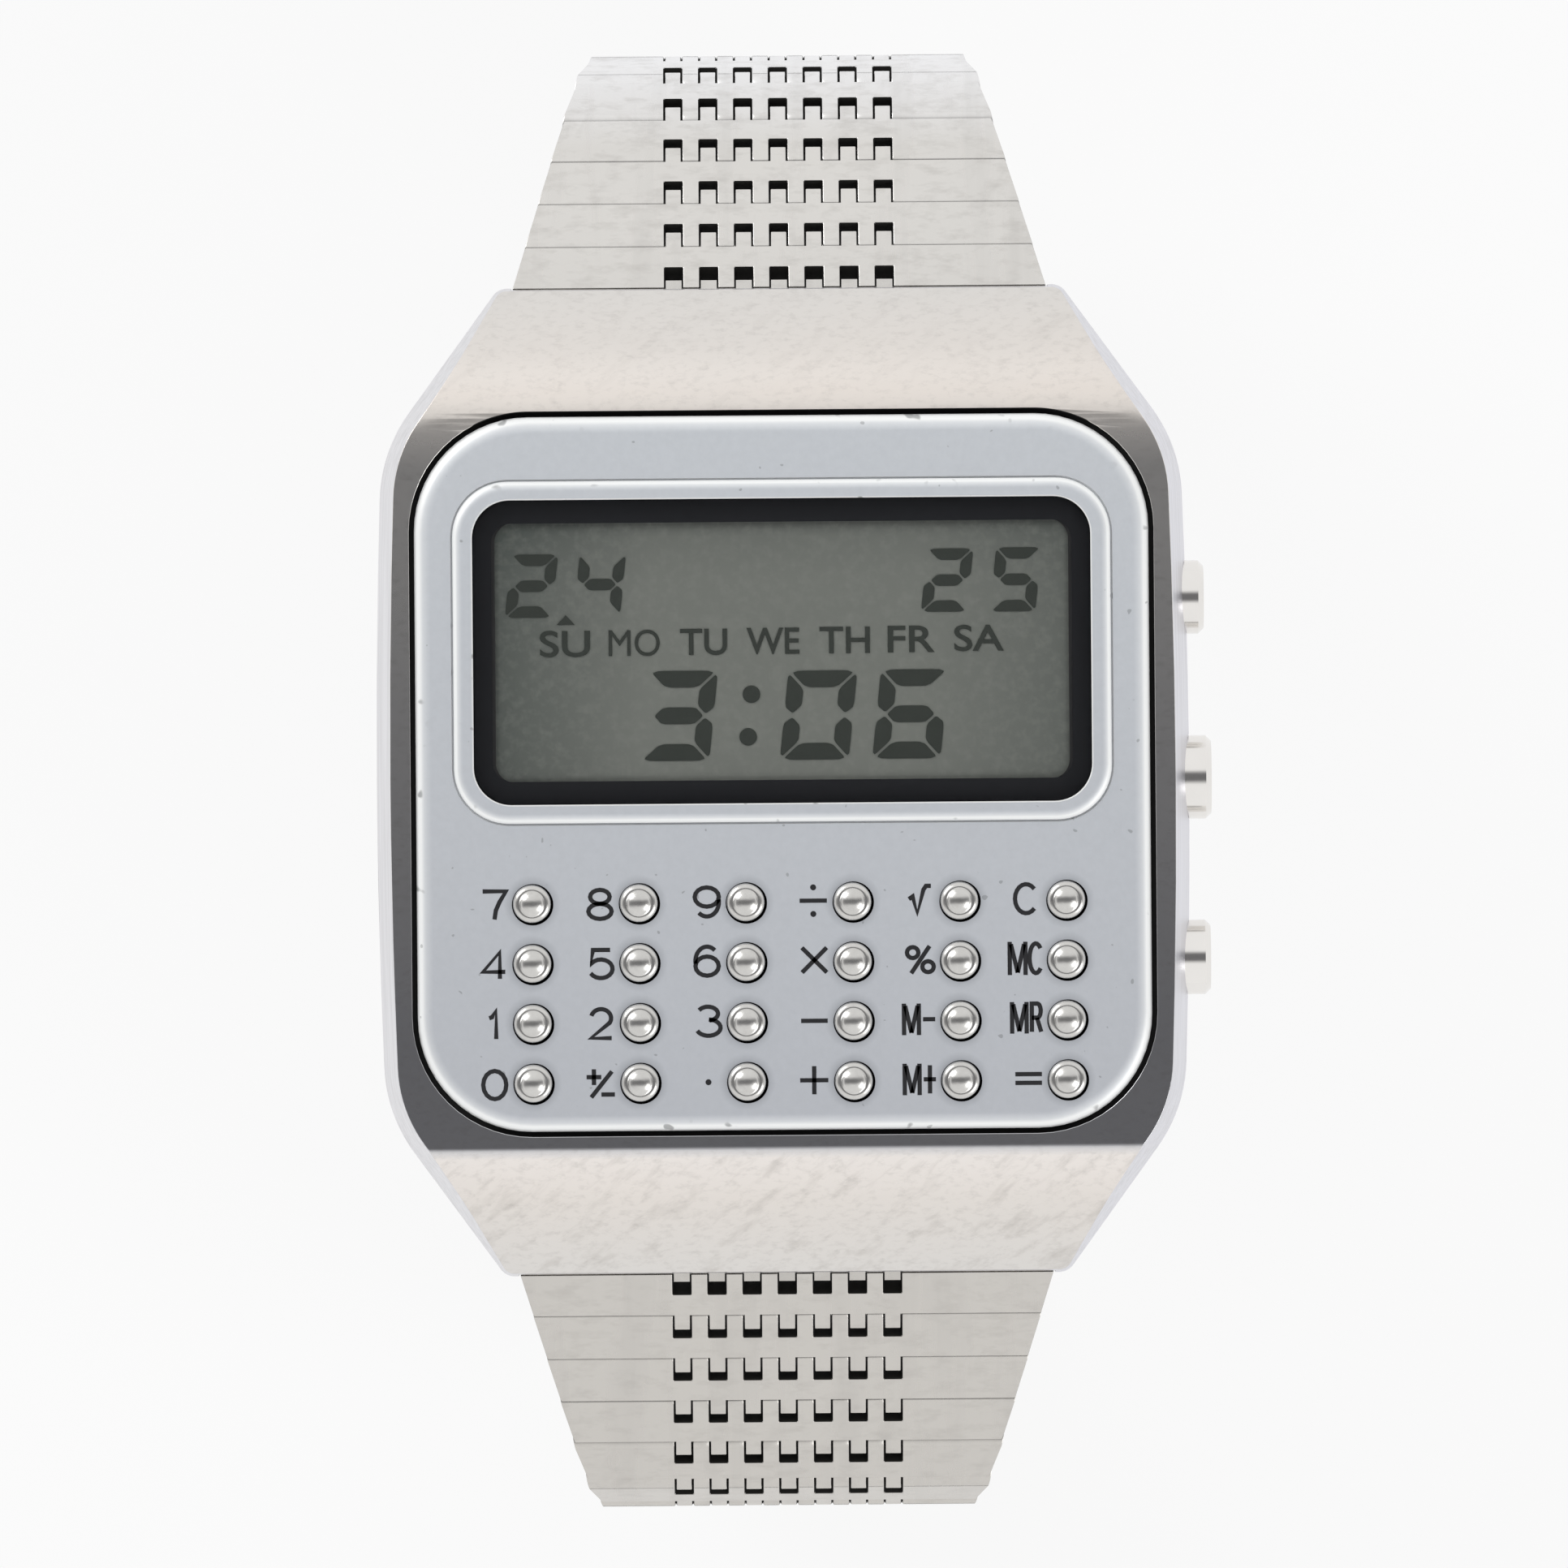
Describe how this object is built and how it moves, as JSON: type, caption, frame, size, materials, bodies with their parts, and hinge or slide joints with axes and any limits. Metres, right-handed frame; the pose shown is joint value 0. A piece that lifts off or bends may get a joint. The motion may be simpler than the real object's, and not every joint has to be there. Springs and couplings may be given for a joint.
{
  "type": "calculator watch",
  "caption": "Square digital watch with a calculator keypad under its display, side buttons, and a tapered steel bracelet of interlocking links closed by a folding clasp.",
  "frame": {"origin": "middle of the clasp cover's flat outer face, on which the closed watch rests", "axes": "+Z out of the watch face, +Y to the 12 o'clock side, +X to the side buttons"},
  "size_m": [0.038, 0.0668, 0.041],
  "materials": {
    "case_steel": "brushed hoods, polished flanks",
    "back_steel": "fine brushed",
    "plate_satin": "satin silver",
    "glass": "clear mineral glass",
    "mask_black": "black print",
    "lcd": "grey-green display",
    "key_steel": "polished",
    "rubber": "black moulded rubber",
    "board": "green board",
    "chip": "black resin",
    "module_plastic": "moulded tray",
    "cell_steel": "plain steel",
    "bracelet_steel": "brushed across",
    "clasp_steel": "brushed lengthwise",
    "pin_steel": "bright drawn wire"
  },
  "bodies": {
    "case": {"case_body": "case_steel", "case_back": "back_steel", "back_gasket": "rubber", "face_plate": "plate_satin", "display_glass": "glass", "display_mask": "mask_black", "lcd_panel": "lcd", "keypad_membrane": "rubber", "circuit_board": "board", "board_components": "chip", "button_cells": "cell_steel", "battery_strap": "pin_steel", "module_frame": "module_plastic", "contact_springs": "pin_steel", "pusher_seals": "rubber", "lug_pins": "pin_steel", "end_links": "bracelet_steel"},
    "key_7_body": {"key_7": "key_steel"},
    "key_8_body": {"key_8": "key_steel"},
    "key_9_body": {"key_9": "key_steel"},
    "key_divide_body": {"key_divide": "key_steel"},
    "key_root_body": {"key_root": "key_steel"},
    "key_clear_body": {"key_clear": "key_steel"},
    "key_4_body": {"key_4": "key_steel"},
    "key_5_body": {"key_5": "key_steel"},
    "key_6_body": {"key_6": "key_steel"},
    "key_multiply_body": {"key_multiply": "key_steel"},
    "key_percent_body": {"key_percent": "key_steel"},
    "key_memory_clear_body": {"key_memory_clear": "key_steel"},
    "key_1_body": {"key_1": "key_steel"},
    "key_2_body": {"key_2": "key_steel"},
    "key_3_body": {"key_3": "key_steel"},
    "key_minus_body": {"key_minus": "key_steel"},
    "key_memory_minus_body": {"key_memory_minus": "key_steel"},
    "key_memory_recall_body": {"key_memory_recall": "key_steel"},
    "key_0_body": {"key_0": "key_steel"},
    "key_sign_body": {"key_sign": "key_steel"},
    "key_point_body": {"key_point": "key_steel"},
    "key_plus_body": {"key_plus": "key_steel"},
    "key_memory_plus_body": {"key_memory_plus": "key_steel"},
    "key_equals_body": {"key_equals": "key_steel"},
    "pusher_upper_body": {"pusher_upper": "key_steel"},
    "pusher_middle_body": {"pusher_middle": "key_steel"},
    "pusher_lower_body": {"pusher_lower": "key_steel"},
    "upper_chain_1": {"upper_links_1": "bracelet_steel"},
    "upper_chain_2": {"upper_links_2": "bracelet_steel"},
    "upper_chain_3": {"upper_links_3": "bracelet_steel"},
    "upper_chain_4": {"upper_links_4": "bracelet_steel"},
    "upper_chain_5": {"upper_links_5": "bracelet_steel"},
    "lower_chain_1": {"lower_links_1": "bracelet_steel"},
    "lower_chain_2": {"lower_links_2": "bracelet_steel"},
    "lower_chain_3": {"lower_links_3": "bracelet_steel"},
    "lower_chain_4": {"lower_links_4": "bracelet_steel"},
    "lower_chain_5": {"lower_links_5": "bracelet_steel"},
    "cover": {"clasp_cover": "clasp_steel", "cover_pins": "pin_steel"},
    "first_blade": {"clasp_blade_first": "clasp_steel"},
    "second_blade": {"clasp_blade_second": "clasp_steel", "blade_pins": "pin_steel"}
  },
  "joints": [
    {"name": "key_7_press", "type": "slide", "parent": "case", "child": "key_7_body", "axis": [0, 0, -1], "range_m": [0, 0.0003], "stiffness_N_per_m": 500},
    {"name": "key_8_press", "type": "slide", "parent": "case", "child": "key_8_body", "axis": [0, 0, -1], "range_m": [0, 0.0003], "stiffness_N_per_m": 500},
    {"name": "key_9_press", "type": "slide", "parent": "case", "child": "key_9_body", "axis": [0, 0, -1], "range_m": [0, 0.0003], "stiffness_N_per_m": 500},
    {"name": "key_divide_press", "type": "slide", "parent": "case", "child": "key_divide_body", "axis": [0, 0, -1], "range_m": [0, 0.0003], "stiffness_N_per_m": 500},
    {"name": "key_root_press", "type": "slide", "parent": "case", "child": "key_root_body", "axis": [0, 0, -1], "range_m": [0, 0.0003], "stiffness_N_per_m": 500},
    {"name": "key_clear_press", "type": "slide", "parent": "case", "child": "key_clear_body", "axis": [0, 0, -1], "range_m": [0, 0.0003], "stiffness_N_per_m": 500},
    {"name": "key_4_press", "type": "slide", "parent": "case", "child": "key_4_body", "axis": [0, 0, -1], "range_m": [0, 0.0003], "stiffness_N_per_m": 500},
    {"name": "key_5_press", "type": "slide", "parent": "case", "child": "key_5_body", "axis": [0, 0, -1], "range_m": [0, 0.0003], "stiffness_N_per_m": 500},
    {"name": "key_6_press", "type": "slide", "parent": "case", "child": "key_6_body", "axis": [0, 0, -1], "range_m": [0, 0.0003], "stiffness_N_per_m": 500},
    {"name": "key_multiply_press", "type": "slide", "parent": "case", "child": "key_multiply_body", "axis": [0, 0, -1], "range_m": [0, 0.0003], "stiffness_N_per_m": 500},
    {"name": "key_percent_press", "type": "slide", "parent": "case", "child": "key_percent_body", "axis": [0, 0, -1], "range_m": [0, 0.0003], "stiffness_N_per_m": 500},
    {"name": "key_memory_clear_press", "type": "slide", "parent": "case", "child": "key_memory_clear_body", "axis": [0, 0, -1], "range_m": [0, 0.0003], "stiffness_N_per_m": 500},
    {"name": "key_1_press", "type": "slide", "parent": "case", "child": "key_1_body", "axis": [0, 0, -1], "range_m": [0, 0.0003], "stiffness_N_per_m": 500},
    {"name": "key_2_press", "type": "slide", "parent": "case", "child": "key_2_body", "axis": [0, 0, -1], "range_m": [0, 0.0003], "stiffness_N_per_m": 500},
    {"name": "key_3_press", "type": "slide", "parent": "case", "child": "key_3_body", "axis": [0, 0, -1], "range_m": [0, 0.0003], "stiffness_N_per_m": 500},
    {"name": "key_minus_press", "type": "slide", "parent": "case", "child": "key_minus_body", "axis": [0, 0, -1], "range_m": [0, 0.0003], "stiffness_N_per_m": 500},
    {"name": "key_memory_minus_press", "type": "slide", "parent": "case", "child": "key_memory_minus_body", "axis": [0, 0, -1], "range_m": [0, 0.0003], "stiffness_N_per_m": 500},
    {"name": "key_memory_recall_press", "type": "slide", "parent": "case", "child": "key_memory_recall_body", "axis": [0, 0, -1], "range_m": [0, 0.0003], "stiffness_N_per_m": 500},
    {"name": "key_0_press", "type": "slide", "parent": "case", "child": "key_0_body", "axis": [0, 0, -1], "range_m": [0, 0.0003], "stiffness_N_per_m": 500},
    {"name": "key_sign_press", "type": "slide", "parent": "case", "child": "key_sign_body", "axis": [0, 0, -1], "range_m": [0, 0.0003], "stiffness_N_per_m": 500},
    {"name": "key_point_press", "type": "slide", "parent": "case", "child": "key_point_body", "axis": [0, 0, -1], "range_m": [0, 0.0003], "stiffness_N_per_m": 500},
    {"name": "key_plus_press", "type": "slide", "parent": "case", "child": "key_plus_body", "axis": [0, 0, -1], "range_m": [0, 0.0003], "stiffness_N_per_m": 500},
    {"name": "key_memory_plus_press", "type": "slide", "parent": "case", "child": "key_memory_plus_body", "axis": [0, 0, -1], "range_m": [0, 0.0003], "stiffness_N_per_m": 500},
    {"name": "key_equals_press", "type": "slide", "parent": "case", "child": "key_equals_body", "axis": [0, 0, -1], "range_m": [0, 0.0003], "stiffness_N_per_m": 500},
    {"name": "pusher_upper_press", "type": "slide", "parent": "case", "child": "pusher_upper_body", "axis": [-1, 0, 0], "range_m": [0, 0.0006], "stiffness_N_per_m": 800},
    {"name": "pusher_middle_press", "type": "slide", "parent": "case", "child": "pusher_middle_body", "axis": [-1, 0, 0], "range_m": [0, 0.0006], "stiffness_N_per_m": 800},
    {"name": "pusher_lower_press", "type": "slide", "parent": "case", "child": "pusher_lower_body", "axis": [-1, 0, 0], "range_m": [0, 0.0006], "stiffness_N_per_m": 800},
    {"name": "upper_bend_1", "type": "hinge", "parent": "case", "child": "upper_chain_1", "pos_m": [0, 0.02238, 0.03449], "axis": [1, 0, 0], "range_deg": [0, 17]},
    {"name": "upper_bend_2", "type": "hinge", "parent": "upper_chain_1", "child": "upper_chain_2", "pos_m": [0, 0.03168, 0.02786], "axis": [1, 0, 0], "range_deg": [0, 23]},
    {"name": "upper_bend_3", "type": "hinge", "parent": "upper_chain_2", "child": "upper_chain_3", "pos_m": [0, 0.03239, 0.02568], "axis": [1, 0, 0], "range_deg": [0, 19]},
    {"name": "upper_bend_4", "type": "hinge", "parent": "upper_chain_3", "child": "upper_chain_4", "pos_m": [0, 0.02872, 0.01013], "axis": [1, 0, 0], "range_deg": [0, 5]},
    {"name": "upper_bend_5", "type": "hinge", "parent": "upper_chain_4", "child": "upper_chain_5", "pos_m": [0, 0.02447, 0.00475], "axis": [1, 0, 0], "range_deg": [0, 8]},
    {"name": "lower_bend_1", "type": "hinge", "parent": "case", "child": "lower_chain_1", "pos_m": [0, -0.02238, 0.03449], "axis": [-1, 0, 0], "range_deg": [0, 17]},
    {"name": "lower_bend_2", "type": "hinge", "parent": "lower_chain_1", "child": "lower_chain_2", "pos_m": [0, -0.03168, 0.02786], "axis": [-1, 0, 0], "range_deg": [0, 23]},
    {"name": "lower_bend_3", "type": "hinge", "parent": "lower_chain_2", "child": "lower_chain_3", "pos_m": [0, -0.03239, 0.02568], "axis": [-1, 0, 0], "range_deg": [0, 19]},
    {"name": "lower_bend_4", "type": "hinge", "parent": "lower_chain_3", "child": "lower_chain_4", "pos_m": [0, -0.02872, 0.01013], "axis": [-1, 0, 0], "range_deg": [0, 5]},
    {"name": "lower_bend_5", "type": "hinge", "parent": "lower_chain_4", "child": "lower_chain_5", "pos_m": [0, -0.02447, 0.00475], "axis": [-1, 0, 0], "range_deg": [0, 8]},
    {"name": "clasp_pivot", "type": "hinge", "parent": "lower_chain_5", "child": "cover", "pos_m": [0, -0.01832, 0.00175], "axis": [-1, 0, 0], "range_deg": [0, 15]},
    {"name": "first_fold", "type": "hinge", "parent": "cover", "child": "first_blade", "pos_m": [0, 0.01552, 0.0016], "axis": [-1, 0, 0], "range_deg": [0, 50]},
    {"name": "second_fold", "type": "hinge", "parent": "first_blade", "child": "second_blade", "pos_m": [0, -0.01442, 0.002], "axis": [1, 0, 0], "range_deg": [0, 45]}
  ]
}
